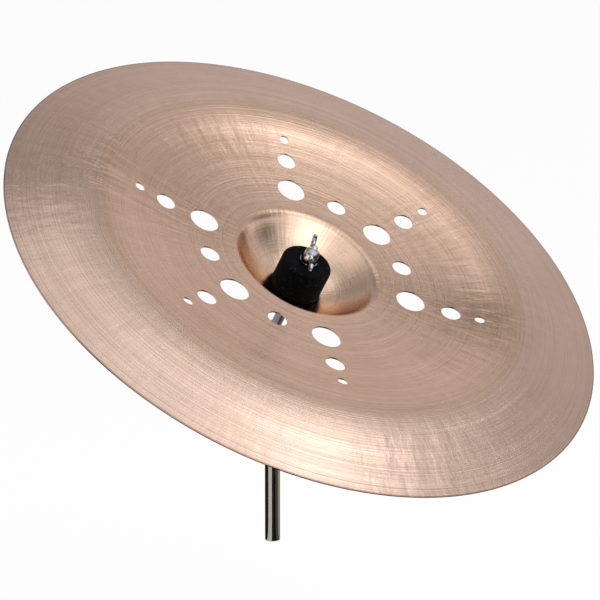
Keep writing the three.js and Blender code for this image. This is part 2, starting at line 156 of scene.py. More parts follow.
class Finish:
    """A material as it is made. Values written to its sockets are numbers, colours or wires."""

    def __init__(self, name, color=(0.5, 0.5, 0.5), metallic=0.0, roughness=0.5):
        self.material = bpy.data.materials.new(name)
        self.material.use_nodes = True
        self.tree = self.material.node_tree
        self.surface = self.tree.nodes["Principled BSDF"]
        self.set("Base Color", (*color, 1))
        self.set("Metallic", metallic)
        self.set("Roughness", roughness)

    def set(self, name, value):
        self.join(value, self.surface.inputs[name])

    def join(self, value, socket):
        """Leads a wire to the socket, or writes the value there."""
        if isinstance(value, Wire):
            self.tree.links.new(value.socket, socket)
        else:
            socket.default_value = value

    def node(self, kind, settings, *values, output=0, **named):
        """Adds a node with its settings. values go to its first sockets in order, and named ones by name."""
        made = self.tree.nodes.new("ShaderNode" + kind)
        for key, value in settings.items():
            setattr(made, key, value)
        for socket, value in zip(made.inputs, values):
            self.join(value, socket)
        for key, value in named.items():
            self.join(value, made.inputs[key.replace("_", " ")])
        return Wire(self, made.outputs[output])

    def place(self):
        """The place on the piece in metres, whichever way the piece is turned later."""
        return self.node("TexCoord", {}, output="Object")

    def along(self, vector, direction):
        """How far a vector goes along a direction: their dot product."""
        settings = {"operation": "DOT_PRODUCT"}
        return self.node("VectorMath", settings, vector, tuple(direction), output="Value")

    def noise(self, vector, scale, detail=2.0, roughness=0.5):
        return self.node("TexNoise", {}, Vector=vector, Scale=scale, Detail=detail, Roughness=roughness)

    def noise_along(self, distance, scale, detail=2.0):
        """Noise that changes with one distance alone."""
        return self.node("TexNoise", {"noise_dimensions": "1D"}, W=distance, Scale=scale, Detail=detail)

    def step(self, value, low, high, out_low=0.0, out_high=1.0):
        """A smooth change from out_low to out_high while the value goes from low to high."""
        settings = {"interpolation_type": "SMOOTHSTEP", "clamp": True}
        named = {"From_Min": low, "From_Max": high, "To_Min": out_low, "To_Max": out_high}
        return self.node("MapRange", settings, value, **named)

    def ray(self, kind):
        """1 for rays of that kind, and 0 for the others."""
        return self.node("LightPath", {}, output=kind)

    def blend(self, amount, first, second):
        """From the first colour to the second. The Mix node's colours are its inputs 6 and 7 and output 2."""
        mixed = self.node("Mix", {"data_type": "RGBA"}, amount, output=2)
        for socket, color in zip(mixed.socket.node.inputs[6:8], (first, second)):
            self.join(color if isinstance(color, Wire) else (*color, 1), socket)
        return mixed

    def bump(self, height, distance, normal=None):
        """A relief of that height times the distance in metres, on top of an earlier one."""
        named = {"Height": height, "Distance": distance}
        if normal:
            named["Normal"] = normal
        return self.node("Bump", {}, **named)


def dressed(piece, finish, slot, *nodes):
    """The piece gets its finish, and the CAD nodes that it stands for are hidden. slot is not used."""
    piece.data.materials.append(finish.material)
    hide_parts(*nodes)
    return piece


def chrome_finish(name, color, roughness, texture):
    """Chrome plate: bright, with faint polishing haze and a skin that is not quite flat."""
    finish = Finish(name, color, metallic=1.0)
    place = finish.place()
    haze = finish.noise(place, 90, 3)
    specks = finish.noise(place, 900, 2)
    finish.set("Roughness", roughness * 0.7 + roughness * 0.6 * haze)
    finish.set("Base Color", finish.blend(haze, [0.93 * c for c in color], color))
    skin_bump = finish.bump(specks, texture * 0.2)
    finish.set("Normal", finish.bump(haze, texture, normal=skin_bump))
    return finish


chrome = chrome_finish("bright_chrome", (0.68, 0.69, 0.71), 0.1, 0.00002)
post_line = rounded([
    (0, 0, 0), (post_radius, 0, post_edge), (post_radius, post_length, post_edge), (0, post_length, 0),
])
post = skin("post_bar", revolved(post_line, 96))
dressed(post, chrome, "chrome", "post")
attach(post, "post_body")


# Tilter jaws: two zinc die castings with chrome plate, set side by side. The lower one is a socket over the
# post, the upper one holds the rod. Their edges and fillets are soft, as plated castings have them.
cast_voxel = 0.00032
cast_smoothing = 3
cast_chrome = chrome_finish("cast_chrome", (0.6, 0.61, 0.63), 0.2, 0.00005)


def casting(name, node):
    """The CAD node's own shape, in small cells and smoothed, so that each edge gets a cast radius."""
    mesh = frame["nodes"][node].data.copy()
    mesh.materials.clear()
    merged = bmesh.new()
    merged.from_mesh(mesh)
    bmesh.ops.remove_doubles(merged, verts=merged.verts, dist=1e-6)
    merged.to_mesh(mesh)
    merged.free()
    return softened(placed(name, mesh), cast_voxel, cast_smoothing)


def softened(piece, voxel, passes):
    """Joins overlapping shells into one skin of small cells, and smooths it."""
    cells = piece.modifiers.new("cells", "REMESH")
    cells.mode = "VOXEL"
    cells.voxel_size = voxel
    smooth = piece.modifiers.new("smooth", "SMOOTH")
    smooth.factor = 0.5
    smooth.iterations = passes
    solved = piece.evaluated_get(bpy.context.evaluated_depsgraph_get())
    mesh = bpy.data.meshes.new_from_object(solved)
    piece.modifiers.clear()
    piece.data = mesh
    mesh.shade_smooth()
    return piece


post_casting = casting("post_casting", "post_jaw")
dressed(post_casting, cast_chrome, "cast_chrome", "post_jaw")
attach(post_casting, "post_body")
rod_casting = casting("rod_casting", "rod_jaw")
dressed(rod_casting, cast_chrome, "cast_chrome", "rod_jaw")
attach(rod_casting, "rod_body")


# Friction disc: a thin ring of pressed brake fibre between the jaws. It lets the tilter turn under load
# and keeps its plating from scoring.
pivot = np.array(joints["tilter_hinge"]["pos_m"])
clamp_bore = 0.0033
disc_foot = 0.0044
disc_radius = 0.011
disc_thickness = 0.0008
disc_edge = 0.0001
clamp_place = np.array([[0, 0, -1], [0, 1, 0], [1, 0, 0]])
clamp_origin = np.array([0, 0, pivot[2]])


def along_clamp(points):
    """Points built about Z, laid along the clamp bolt: +Z turns to -X, and the origin to the post's axis."""
    return points @ clamp_place.T + clamp_origin


def ring_line(bore, radius, foot, top, edge):
    """A ring's closed section, from its bore round to its bore again, with its edges broken."""
    return rounded([(bore, foot, edge), (radius, foot, edge), (radius, top, edge), (bore, top, edge)])


fibre = Finish("brake_fibre", roughness=0.85)
fibre_grain = fibre.noise(fibre.place(), 1400, 4, 0.7)
fibre.set("Base Color", fibre.blend(fibre_grain, (0.05, 0.03, 0.02), (0.2, 0.13, 0.09)))
fibre.set("Normal", fibre.bump(fibre_grain, 0.0001))
disc_line = ring_line(clamp_bore, disc_radius, disc_foot, disc_foot + disc_thickness, disc_edge)
disc = skin("friction_ring", along_clamp(revolved(disc_line, 96)), loop=True)
dressed(disc, fibre, "brake_fibre", "friction_disc")
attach(disc, "post_body")


# Clamp bolt: an M6 hexagon bolt through both jaws. Its thread is rolled and chromed, and its head bears
# on the post's jaw.
clamp_bolt_radius = 0.003
clamp_pitch = 0.001
clamp_head_width = 0.01
clamp_head_foot = -0.0044
clamp_head_height = 0.0042
clamp_thread_start = 0.006
clamp_bolt_end = 0.0303
clamp_bolt_chamfer = 0.0006
clamp_tip_radius = 0.0022
thread_sides = 40


def threaded(radius, pitch, foot, top, end_line, rows_per_turn=9):
    """A right-hand thread about Z: the radius falls by the thread's depth with the distance to the nearest
    crest, which climbs one pitch a turn. end_line gives the largest radius at each height, for its ends."""
    depth = 0.6 * pitch
    height = np.linspace(foot, top, int((top - foot) / pitch * rows_per_turn))[:, None]
    turn = np.linspace(0, 2 * pi, thread_sides, endpoint=False)[None, :]
    phase = (height / pitch - turn / (2 * pi)) % 1
    flank = np.clip(np.abs(phase - 0.5) * 2.4 - 0.15, 0, 1)
    limit = np.interp(height, end_line[:, 1], end_line[:, 0])
    reach = np.minimum(radius - depth * (1 - flank), limit)
    return around(reach, turn, height)


def capped(grid):
    """The grid with a point on the axis before its first row and after its last, so that both ends close."""
    foot = np.tile([0, 0, grid[0, 0, 2]], (1, grid.shape[1], 1))
    top = np.tile([0, 0, grid[-1, 0, 2]], (1, grid.shape[1], 1))
    return np.concatenate([foot, grid, top])


def polygon(flats, width, foot, top, chamfer, sides_per_flat=12):
    """A nut's or bolt head's side wall: the radius is that of a regular polygon, half the width over the
    cosine of the angle from the flat's middle, cut by a cone of about 30 degrees at a chamfered end."""
    turn = np.linspace(0, 2 * pi, flats * sides_per_flat, endpoint=False)
    off_middle = (turn + pi / flats) % (2 * pi / flats) - pi / flats
    flat_radius = width / 2 / np.cos(off_middle)
    corner = width / 2 / cos(pi / flats)
    fall = (corner - width / 2) * 0.6
    levels = np.linspace(0, 1, 6)
    foot_cut = fall if chamfer in ("both", "foot") else 0
    top_cut = fall if chamfer in ("both", "top") else 0
    heights = np.concatenate([foot + fall * levels, top - fall * levels[::-1]])
    inset = np.concatenate([foot_cut * 1.6 * (1 - levels), top_cut * 1.6 * levels])
    reach = np.minimum(flat_radius[None, :], (corner - inset)[:, None])
    return around(reach, turn, heights[:, None])


clamp_end_line = np.array([
    [clamp_bolt_radius, 0], [clamp_bolt_radius, clamp_bolt_end - clamp_bolt_chamfer],
    [clamp_tip_radius, clamp_bolt_end],
])
clamp_thread = threaded(clamp_bolt_radius, clamp_pitch, clamp_thread_start, clamp_bolt_end, clamp_end_line)
clamp_shank_line = np.array([
    [0, clamp_head_foot], [clamp_bolt_radius, clamp_head_foot], [clamp_bolt_radius, clamp_thread_start],
])
clamp_end = np.tile([0, 0, clamp_bolt_end], (1, thread_sides, 1))
clamp_shaft = np.concatenate([revolved(clamp_shank_line, thread_sides), clamp_thread, clamp_end])
clamp_head_end = clamp_head_foot - clamp_head_height
clamp_head = capped(polygon(6, clamp_head_width, clamp_head_end, clamp_head_foot, "foot"))
clamp_bolt = skin("tilter_bolt", along_clamp(clamp_shaft), along_clamp(clamp_head))
dressed(clamp_bolt, chrome, "chrome", "clamp_bolt")
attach(clamp_bolt, "post_body")


# Clamp washers: a chromed plain washer, and a split spring washer of zinc-plated steel that keeps the
# clamp nut from working loose.
clamp_washer_foot = 0.014
clamp_washer_radius = 0.008
clamp_washer_thickness = 0.0016
clamp_washer_edge = 0.0003
spring_foot = 0.0159
spring_radius = 0.0056
spring_thickness = 0.0016
spring_gap = 0.0012
spring_edge = 0.00025


def steel_finish(name, color, roughness):
    """Zinc plate on steel: a cool satin skin with fine scratches and cloudy patches."""
    finish = Finish(name, color, metallic=1.0)
    place = finish.place()
    cloud = finish.noise(place, 260, 3)
    scratch = finish.noise(place, 2600, 3, 0.7)
    finish.set("Roughness", roughness * 0.75 + 0.5 * roughness * cloud)
    finish.set("Base Color", finish.blend(cloud, [0.8 * c for c in color], color))
    finish.set("Normal", finish.bump(scratch, 0.00003))
    return finish


def split_ring(bore, radius, foot, top, edge, gap, steps=72):
    """A ring cut through once: its section is carried round from one side of the gap to the other, and each
    end is closed on the middle of the section."""
    section = ring_line(bore, radius, foot, top, edge)
    middle = np.tile([(bore + radius) / 2, (foot + top) / 2], (len(section), 1))
    half = gap / 2 / radius
    turn = np.linspace(half, 2 * pi - half, steps)[:, None]
    body = around(section[:, 0], turn, section[:, 1])
    start, end = (around(middle[:, 0], side, middle[:, 1]) for side in (turn[:1], turn[-1:]))
    return np.concatenate([start, body, end])


steel = steel_finish("zinc_steel", (0.55, 0.56, 0.58), 0.34)
clamp_washer_top = clamp_washer_foot + clamp_washer_thickness
clamp_washer_line = ring_line(
    clamp_bore, clamp_washer_radius, clamp_washer_foot, clamp_washer_top, clamp_washer_edge,
)
clamp_washer = skin("clamp_ring", along_clamp(revolved(clamp_washer_line, 72)), loop=True)
dressed(clamp_washer, chrome, "chrome", "clamp_washer")
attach(clamp_washer, "clamp_washers")
spring_top = spring_foot + spring_thickness
spring_grid = split_ring(clamp_bore, spring_radius, spring_foot, spring_top, spring_edge, spring_gap)
spring_washer = skin("spring_ring", along_clamp(spring_grid))
dressed(spring_washer, steel, "steel", "spring_washer")
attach(spring_washer, "clamp_washers")


# Wing nuts: forged and chromed, a short cone with two rounded wings. The small one clamps the tilter, and
# its larger brother holds the cymbal down.
nut_skirt = 0.0009
nut_foot_edge = 0.0005
nut_bore_edge = 0.0004
nut_crown_edge = 0.0012
nut_top_edge = 0.0005
wing_foot_dip = 0.0003
forging_voxel = 0.00022
forging_smoothing = 4


def wing(size, side):
    """Half of the wings' bar: across it an oval whose height and middle follow the wing's lower and upper
    line, dipping between the hub and the round tip. side is 1 or -1 along X."""
    tip_centre = size["span"] / 2 - size["tip_radius"]
    share = 1 - np.cos(np.linspace(0, pi / 2, 14)[::-1])
    round_part = tip_centre + size["tip_radius"] * (1 - share)
    along = np.concatenate([np.linspace(size["root"], tip_centre, 24)[:-1], round_part])
    fraction = np.clip((along - size["crown"]) / (tip_centre - size["crown"]), 0, 1)
    dip = 4 * fraction * (1 - fraction)
    tip_foot = size["tip_lift"] - size["tip_radius"]
    tip_top = size["tip_lift"] + size["tip_radius"]
    hub_top = size["height"] * 0.93
    low = nut_skirt * (1 - fraction) + tip_foot * fraction - wing_foot_dip * dip
    high = hub_top * (1 - fraction) + tip_top * fraction - size["dip"] * dip
    past = np.clip((along - tip_centre) / size["tip_radius"], 0, 1)
    squeeze = np.sqrt(np.clip(1 - past**2, 0, 1))
    middle, half = (low + high) / 2, (high - low) / 2 * squeeze
    thick = size["blade"] / 2 * (0.35 + 0.65 * squeeze) * (squeeze > 0)
    turn = np.linspace(0, 2 * pi, 28, endpoint=False)
    across = np.sign(np.cos(turn)) * np.abs(np.cos(turn)) ** 0.6
    upright = np.sign(np.sin(turn)) * np.abs(np.sin(turn)) ** 0.6
    grid = np.stack([
        side * along[:, None] + 0 * turn,
        thick[:, None] * across,
        middle[:, None] + half[:, None] * upright,
    ], -1)
    root = np.tile([side * along[0], 0, middle[0]], (1, len(turn), 1))
    return np.concatenate([root, grid])


def wing_nut(name, size, turn, place):
    """A cone hub with a bore, and two wings, joined in small cells and smoothed as a forging is."""
    hub_line = rounded([
        (size["bore"], 0, nut_bore_edge), (size["foot"], 0, nut_foot_edge),
        (size["foot"], nut_skirt, nut_foot_edge), (size["crown"], size["height"], nut_crown_edge),
        (size["bore"], size["height"], nut_top_edge),
    ])
    hub_line = np.concatenate([hub_line, hub_line[:1]])
    spin = np.array([[cos(turn), -sin(turn), 0], [sin(turn), cos(turn), 0], [0, 0, 1]])
    shapes = [revolved(hub_line, 96), wing(size, 1), wing(size, -1)]
    nut = skin(name, *[place(shape @ spin.T) for shape in shapes])
    return softened(nut, forging_voxel, forging_smoothing)


clamp_nut_foot = 0.0178
clamp_nut_size = {
    "bore": 0.0033, "root": 0.004, "foot": 0.0064, "crown": 0.005, "height": 0.008, "span": 0.034,
    "blade": 0.0028, "tip_radius": 0.003, "tip_lift": 0.0062, "dip": 0.0016,
}
clamp_nut = wing_nut(
    "clamp_nut_forging", clamp_nut_size, radians(70),
    lambda points: along_clamp(points + [0, 0, clamp_nut_foot]),
)
dressed(clamp_nut, chrome, "chrome", "clamp_wing_nut")
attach(clamp_nut, "clamp_nut")


# Key bolt: a square-headed bolt in the socket's boss, turned with a drum key until it grips the post.
# It is turned steel with chrome plate, with a round collar under its head.
key_radius = 0.003
key_pitch = 0.001
key_drop = 0.0301
key_tip = 0.006
key_tip_radius = 0.0022
key_tip_chamfer = 0.0006
key_collar_foot = 0.0125
key_collar_radius = 0.0048
key_collar_height = 0.002
key_collar_edge = 0.0004
key_collar_dome = 0.0006
key_head_width = 0.006
key_head_top = 0.0204
key_head_sink = 0.0003


def along_key(points):
    """Points built about Z, laid along +Y at the key bolt's height."""
    turned = np.stack([points[..., 0], points[..., 2], -points[..., 1]], -1)
    return turned + [0, 0, pivot[2] - key_drop]


key_end_line = np.array([
    [key_tip_radius, key_tip], [key_radius, key_tip + key_tip_chamfer], [key_radius, key_collar_foot],
])
key_thread = capped(threaded(key_radius, key_pitch, key_tip, key_collar_foot, key_end_line))
key_collar_top = key_collar_foot + key_collar_height
key_collar_line = rounded([
    (0, key_collar_foot, 0), (key_collar_radius, key_collar_foot, key_collar_edge),
    (key_collar_radius, key_collar_top, key_collar_dome), (0, key_collar_top, 0),
])
key_head = capped(polygon(4, key_head_width, key_collar_top - key_head_sink, key_head_top, "top"))
key_parts = [key_thread, revolved(key_collar_line, 64), key_head]
key_bolt = skin("drum_key_bolt", *[along_key(part) for part in key_parts])
dressed(key_bolt, chrome, "chrome", "key_bolt")
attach(key_bolt, "post_body")


# Rod: an M8 threaded rod, chromed, with a thinner domed tip that leads nuts on. It is pinned in the upper
# jaw and leans with it, and everything that carries the cymbal sits on it.
rod_axis = np.array(joints["nut_slide"]["axis"])
rod_side = np.array([1.0, 0.0, 0.0])
rod_rise = np.cross(rod_axis, rod_side)
rod_radius = 0.004
rod_pitch = 0.00125
rod_foot = 0.016
rod_tip = 0.1057
rod_tip_radius = 0.0025
rod_tip_length = 0.0044
rod_foot_radius = 0.0032
rod_foot_chamfer = 0.0008
rod_shoulder_inset = 0.0004
rod_shoulder_rise = 0.0002


def on_rod(points):
    """Points built about Z, with heights from the tilter's pivot, leaned over with the rod."""
    return points @ np.stack([rod_side, rod_rise, rod_axis]) + pivot


rod_chrome = chrome_finish("rod_chrome", (0.56, 0.57, 0.66), 0.14, 0.00003)
rod_shoulder = rod_tip - rod_tip_length
dome_turn = np.linspace(0, pi / 2, 14)
dome_height = rod_tip - rod_tip_radius * (1 - np.sin(dome_turn))
dome_line = np.stack([rod_tip_radius * np.cos(dome_turn), dome_height], -1)
rod_end_line = np.array([
    [rod_foot_radius, rod_foot], [rod_radius, rod_foot + rod_foot_chamfer], [rod_radius, rod_tip],
])
rod_thread = threaded(rod_radius, rod_pitch, rod_foot, rod_shoulder, rod_end_line)
rod_start = np.tile([0, 0, rod_foot], (1, thread_sides, 1))
shoulder_point = [[rod_radius - rod_shoulder_inset, rod_shoulder + rod_shoulder_rise]]
rod_point = revolved(np.concatenate([shoulder_point, dome_line]), thread_sides)
rod = skin("threaded_rod", on_rod(np.concatenate([rod_start, rod_thread, rod_point])))
dressed(rod, rod_chrome, "chrome", "rod")
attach(rod, "rod_body")


# Rod pin: a steel pin pressed across the jaw's boss and the rod, so that the rod can't turn in it.
# Its ends are rounded and flush with the boss.
pin_radius = 0.0014
pin_half = 0.0068
pin_height = 0.02085
pin_edge = 0.0005
pin_line = rounded([
    (0, -pin_half, 0), (pin_radius, -pin_half, pin_edge), (pin_radius, pin_half, pin_edge), (0, pin_half, 0),
])
pin_points = revolved(pin_line, 40) @ clamp_place
rod_pin = skin("cross_pin", on_rod(pin_points + [0, 0, pin_height]))
dressed(rod_pin, steel, "steel", "rod_pin")
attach(rod_pin, "rod_body")


# Seat nut: an M8 hexagon nut of zinc-plated steel, run down the rod and left there. The cup washer
# stands on it.
seat_foot = 0.0453
seat_height = 0.0065
seat_width = 0.013
rod_bore = 0.0043
seat_wall = polygon(6, seat_width, seat_foot, seat_foot + seat_height, "both")
seat_bore = revolved(np.array([[rod_bore, 0]]), seat_wall.shape[1])
seat_ends = [seat_bore + seat_wall[row] * [0, 0, 1] for row in (0, -1)]
seat_nut = skin("seat_hexagon", on_rod(np.concatenate([seat_ends[0], seat_wall, seat_ends[1]])), loop=True)
dressed(seat_nut, steel, "steel", "seat_nut")
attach(seat_nut, "rod_body")


# Cup washer: a dish pressed from zinc-plated steel sheet, which stands on the seat nut. Its raised lip holds
# the lower felt round and spreads its load.
cup_foot = 0.0521
cup_sheet = 0.0012
cup_lip = 0.0044
cup_inside = 0.01905
cup_bore_edge = 0.0003
cup_bend = 0.0016
cup_inner_bend = 0.0006
cup_lip_edge = 0.0005
cup_outside = cup_inside + cup_sheet
cup_line = rounded([
    (rod_bore, cup_foot, cup_bore_edge), (cup_outside, cup_foot, cup_bend),
    (cup_outside, cup_foot + cup_lip, cup_lip_edge), (cup_inside, cup_foot + cup_lip, cup_lip_edge),
    (cup_inside, cup_foot + cup_sheet, cup_inner_bend), (rod_bore, cup_foot + cup_sheet, cup_bore_edge),
])
cup = skin("pressed_cup", on_rod(revolved(cup_line, 128)), loop=True)
dressed(cup, steel, "steel", "cup_washer")
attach(cup, "rod_body")


# Sleeve: a moulded black nylon tube, slipped over the rod with its flange in the cup, under the felt.
# It keeps the thread from wearing the bell's hole.
sleeve_foot = 0.0536
sleeve_top = 0.075
sleeve_radius = 0.0053
sleeve_flange = 0.0085
sleeve_flange_top = 0.0548
sleeve_edge = 0.0003
sleeve_bore_edge = 0.0002
sleeve_fillet = 0.0004
nylon = Finish("black_nylon", roughness=0.45)
nylon_skin = nylon.noise(nylon.place(), 1500, 3)
nylon.set("Base Color", nylon.blend(nylon_skin, (0.006, 0.006, 0.007), (0.014, 0.014, 0.015)))
nylon.set("Roughness", 0.38 + 0.16 * nylon_skin)
nylon.set("Normal", nylon.bump(nylon_skin, 0.00003))
sleeve_line = rounded([
    (rod_bore, sleeve_foot, sleeve_bore_edge), (sleeve_flange, sleeve_foot, sleeve_edge),
    (sleeve_flange, sleeve_flange_top, sleeve_edge), (sleeve_radius, sleeve_flange_top, sleeve_fillet),
    (sleeve_radius, sleeve_top, sleeve_edge), (rod_bore, sleeve_top, sleeve_edge),
])
sleeve = skin("nylon_sleeve", on_rod(revolved(sleeve_line, 72)), loop=True)
dressed(sleeve, nylon, "nylon", "sleeve")
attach(sleeve, "rod_body")


# Cymbal: one sheet of bell bronze, spun with a bell, a rising bow, a soft crest and a turned-down flange,
# then hammered, lathed on both faces, and drilled with rows of round sound holes.
edge_plane = 0.09
cymbal_radius = 0.22857
sheet = 0.0011
bell_radius = 0.054
bell_depth = 0.027
bell_hole = 0.0061
bell_rounding = 0.0045
crest_radius = 0.162
crest_height = 0.016
crest_rounding = 0.024
bow_sweep = 0.0015
flange_swell = 0.0016
cymbal_turn = radians(12.9)
row_spacing = radians(53)
row_holes = [(0.0109, 0.0807), (0.0073, 0.1115), (0.0037, 0.1327)]
single_hole = (0.0074, 0.0795)
drill_reach = 0.03


def curve(start, control, end, steps):
    """Points of a parabola from start to end that leaves and arrives along the lines to its control point."""
    t = np.linspace(0, 1, steps + 1)[1:, None]
    return (1 - t) ** 2 * start + 2 * t * (1 - t) * control + t**2 * end


def toward(start, end, distance):
    """The point a distance along the straight line from start to end."""
    return start + (end - start) * distance / np.linalg.norm(end - start)


def cymbal_line():
    """The upper face from the bell hole to the edge: a sphere's arc, the bell's rim, the bow, the crest and
    the flange, with heights from the plane of the edge."""
    sphere = (bell_radius**2 + bell_depth**2) / (2 * bell_depth)
    rim = np.array([bell_radius, 0])
    crest = np.array([crest_radius, crest_height])
    edge = np.array([cymbal_radius, 0])
    bow_control = np.array([(bell_radius + crest_radius) / 2, bow_sweep])
    flange_control = (crest + edge) / 2 + [0, flange_swell]
    rim_angle = np.arcsin(bell_radius / sphere) - bell_rounding / sphere
    angle = np.linspace(np.arcsin(bell_hole / sphere), rim_angle, 26)
    bell = np.stack([sphere * np.sin(angle), sphere - bell_depth - sphere * np.cos(angle)], -1)
    bow_start = toward(rim, bow_control, bell_rounding)
    bow_end = toward(crest, bow_control, crest_rounding)
    flange_start = toward(crest, flange_control, crest_rounding)
    return np.concatenate([
        bell, curve(bell[-1], rim, bow_start, 8), curve(bow_start, bow_control, bow_end, 34),
        curve(bow_end, crest, flange_start, 20), curve(flange_start, flange_control, edge, 26),
    ])


def square_to(line):
    """Unit vectors square to a line of (radius, height) points, pointing up."""
    along = np.gradient(line, axis=0)
    along /= np.linalg.norm(along, axis=1)[:, None]
    return np.stack([-along[:, 1], along[:, 0]], -1)


upper_line = cymbal_line()
upward = square_to(upper_line)
lower_line = upper_line - upward * sheet
sheet_line = np.concatenate([upper_line, lower_line[::-1]])
blank = skin("bronze_sheet", revolved(sheet_line, 288), loop=True)


def drill(radius, ring, angle):
    """A cylinder through the sheet, at a place on a ring about the axis."""
    line = np.array([[0, -drill_reach], [radius, -drill_reach], [radius, drill_reach], [0, drill_reach]])
    centre = ring * np.array([cos(angle), sin(angle), 0])
    return revolved(line, 48) + centre


def sound_holes():
    """Six rows of three holes, and one hole between each two rows of a side: radius, ring and angle."""
    holes = []
    for side in (0, pi):
        for row in (-1, 0, 1):
            holes += [(radius, ring, side + row * row_spacing) for radius, ring in row_holes]
        holes += [(*single_hole, side + half * row_spacing / 2) for half in (-1, 1)]
    return holes


drills = skin("drills", *[drill(*hole) for hole in sound_holes()])
cut = blank.modifiers.new("drilled", "BOOLEAN")
cut.object = drills
cut.solver = "MANIFOLD"
drilled = bpy.data.meshes.new_from_object(blank.evaluated_get(bpy.context.evaluated_depsgraph_get()))
blank.modifiers.clear()
bpy.data.objects.remove(drills)
blank.data = drilled
drilled.materials.clear()
drilled.polygons.foreach_set("material_index", np.zeros(len(drilled.polygons), int))


def read(items, name, width=1, kind=float):
    """One value of each vertex, corner or face, as an array with a row for each."""
    values = np.zeros(len(items) * width, kind)
    items.foreach_get(name, values)
    return values.reshape(-1, width)


def face_normals(mesh):
    """Each face corner's normal: that of the spun surface on both faces, worked out from the profile at the
    corner's radius, and the face's own on the walls of the holes and on the edge."""
    corners = read(mesh.loops, "vertex_index", kind=int)[:, 0]
    totals = read(mesh.polygons, "loop_total", kind=int)[:, 0]
    flat = np.repeat(read(mesh.polygons, "normal", 3), totals, axis=0)
    place = read(mesh.vertices, "co", 3)[corners]
    radius = np.hypot(place[:, 0], place[:, 1])
    out = np.interp(radius, upper_line[:, 0], upward[:, 0])
    up = np.interp(radius, upper_line[:, 0], upward[:, 1])
    spun = np.stack([out * place[:, 0] / radius, out * place[:, 1] / radius, up], -1)
    spun /= np.linalg.norm(spun, axis=1)[:, None]
    facing = (spun * flat).sum(1)
    return np.where(np.abs(facing)[:, None] > 0.8, spun * np.sign(facing)[:, None], flat)


turned_x = [cos(cymbal_turn), sin(cymbal_turn), 0]
turned_y = [-sin(cymbal_turn), cos(cymbal_turn), 0]
cymbal_to_frame = np.array([turned_x, turned_y, [0, 0, 1]]) @ np.stack([rod_side, rod_rise, rod_axis])
cymbal_centre = pivot + edge_plane * rod_axis
drilled.shade_smooth()
corner_normals = face_normals(drilled) @ cymbal_to_frame
drilled_points = read(drilled.vertices, "co", 3) @ cymbal_to_frame + cymbal_centre
drilled.vertices.foreach_set("co", drilled_points.ravel())
drilled.update()
drilled.normals_split_custom_set(corner_normals.tolist())


def bronze_finish():
    """Lathed bell bronze. Every pattern is read from the distance to the cymbal's axis and the angle round
    it: turned lines too fine to see, which spread reflections outwards only, then tool grooves and rings,
    streaks along them, wrinkles and dimples of the hammer, and cloudy tone. The last millimetre at the
    edge is darker."""
    finish = Finish("lathed_bronze", metallic=1.0)
    offset = finish.node("VectorMath", {"operation": "SUBTRACT"}, finish.place(), tuple(cymbal_centre))
    across, rise, lift = (finish.along(offset, direction) for direction in (rod_side, rod_rise, rod_axis))
    radius = (across**2 + rise**2) ** 0.5
    angle = rise.math("ARCTAN2", rise, across)
    on_axis = finish.node("CombineXYZ", {}, across, rise, lift)
    cosine, sine = angle.math("COSINE", angle), angle.math("SINE", angle)

    def round_it(cells_round, cells_out):
        """A place on the sheet for noise with so many cells in a radian, and so many in a metre outwards."""
        return finish.node("CombineXYZ", {}, cosine * cells_round, sine * cells_round, radius * cells_out)

    turning = finish.noise_along(radius, 5200, 1)
    fine = finish.noise_along(radius, 1100, 2)
    streaks = finish.noise(round_it(5, 900), 1, 3, 0.6)
    wrinkles = finish.noise(round_it(17, 30), 1, 3, 0.55)
    tool_rings = finish.noise_along(radius, 420, 3)
    bands = finish.noise_along(radius, 60, 2)
    dimples = finish.noise(on_axis, 55, 2)
    clouds = finish.noise(on_axis, 9, 4, 0.6)
    stains = finish.noise(on_axis, 38, 4, 0.65)

    on_flange = finish.step(radius, crest_radius - 0.004, crest_radius + 0.012)
    in_bell = finish.step(radius, bell_radius + 0.001, bell_radius - 0.002)
    cloudy = finish.step(clouds, 0.35, 0.65)
    bow_color = finish.blend(cloudy, (0.6, 0.41, 0.305), (0.66, 0.45, 0.345))
    # The flange's bronze is paler and pinker than the bow's: a painted tint of the light that the flange
    # reflects.
    flange_painted_tint_color = finish.blend(cloudy, (0.58, 0.418, 0.34), (0.635, 0.458, 0.375))
    # Inside the bell the bronze is paler and lighter than on the bow: painted light that offsets the deeper
    # shade of the bell's hollow.
    bell_painted_light_color = (0.8, 0.575, 0.43)
    color = finish.blend(on_flange, bow_color, flange_painted_tint_color)
    color = finish.blend(in_bell, color, bell_painted_light_color)
    marks = [
        (bands, 0.4, 0.75, 0.12, (0.4, 0.27, 0.2)),
        (tool_rings, 0.5, 0.8, 0.12, (0.36, 0.25, 0.19)),
        (streaks, 0.45, 0.75, 0.2, (0.36, 0.245, 0.18)),
        (fine, 0.45, 0.8, 0.16, (0.34, 0.22, 0.16)),
        (stains, 0.55, 0.8, 0.12, (0.42, 0.26, 0.2)),
    ]
    for pattern, low, high, share, mark_color in marks:
        color = finish.blend(finish.step(pattern, low, high, 0, share), color, mark_color)
    rim_wall = finish.step(radius, cymbal_radius - 0.0013, cymbal_radius - 0.0005)
    finish.set("Base Color", finish.blend(rim_wall, color, (0.32, 0.22, 0.18)))
    finish.set("Specular Tint", (1, 0.92, 0.86, 1))

    worked = 1 - 0.55 * in_bell
    finish.set("Roughness", 0.1 + 0.05 * on_flange + 0.02 * in_bell + 0.04 * bands)
    depths = [
        (turning, 0.00005), (fine, 0.00005), (tool_rings, 0.00004), (streaks, 0.00006), (wrinkles, 0.0004),
    ]
    relief = None
    for pattern, depth in depths:
        relief = finish.bump(pattern * worked, depth, normal=relief)
    finish.set("Normal", finish.bump(dimples, 0.00018, normal=relief))
    return finish


bronze = bronze_finish()
dressed(blank, bronze, "bronze", "cymbal")
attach(blank, "cymbal_body")
